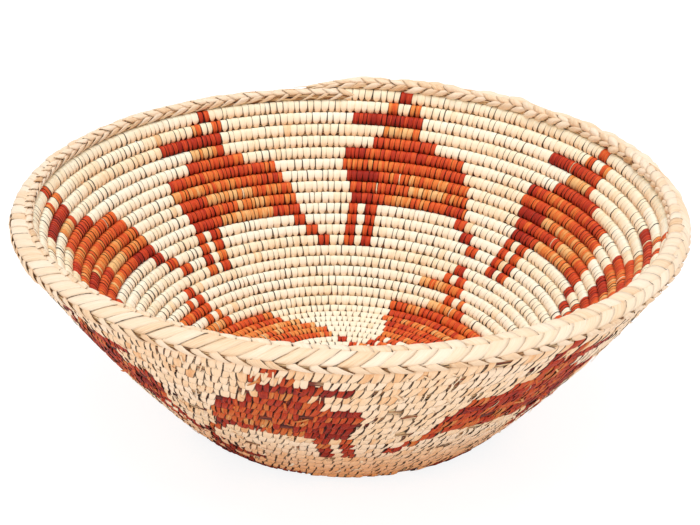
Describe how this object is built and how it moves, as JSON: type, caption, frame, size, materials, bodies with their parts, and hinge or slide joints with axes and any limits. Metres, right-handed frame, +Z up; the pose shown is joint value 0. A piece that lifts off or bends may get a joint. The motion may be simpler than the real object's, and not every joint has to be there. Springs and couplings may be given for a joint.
{
  "type": "palm leaf bowl",
  "caption": "Open round bowl of coiled palm leaf, wrapped with leaf strips, flat floor, flared wall and a braided rim.",
  "frame": {"origin": "centre of the flat underside, on the surface the bowl stands on", "axes": "+Z up along the bowl's axis, +Y towards the place on the rim where the coil and the braid end"},
  "size_m": [0.3728, 0.3754, 0.1335],
  "materials": {
    "palm_strip": "satin",
    "dyed_strip": "satin",
    "palm_braid": "satin",
    "leaf_bundle": "matte"
  },
  "bodies": {
    "root": {"start_knot": "palm_strip", "floor_bundle": "leaf_bundle", "wall_bundle": "leaf_bundle", "rim_braid": "palm_braid", "floor_wrap_01": "palm_strip", "floor_wrap_02": "palm_strip", "floor_wrap_03": "palm_strip", "floor_wrap_04": "palm_strip", "floor_wrap_05": "palm_strip", "floor_wrap_06": "palm_strip", "floor_wrap_07": "palm_strip", "floor_wrap_08": "palm_strip", "floor_wrap_09": "palm_strip", "floor_wrap_10": "palm_strip", "floor_wrap_11": "palm_strip", "wall_wrap_01": "palm_strip", "wall_wrap_02": "palm_strip", "wall_wrap_03": "palm_strip", "wall_wrap_04": "palm_strip", "wall_wrap_05": "palm_strip", "wall_wrap_06": "palm_strip", "wall_wrap_07": "palm_strip", "wall_wrap_08": "palm_strip", "wall_wrap_09": "palm_strip", "wall_wrap_10": "palm_strip", "wall_wrap_11": "palm_strip", "wall_wrap_12": "palm_strip", "wall_wrap_13": "palm_strip", "wall_wrap_14": "palm_strip", "wall_wrap_15": "palm_strip", "wall_wrap_16": "palm_strip", "wall_wrap_17": "palm_strip", "wall_wrap_18": "palm_strip", "wall_wrap_19": "palm_strip", "wall_wrap_20": "palm_strip", "wall_wrap_21": "palm_strip"}
  },
  "joints": []
}
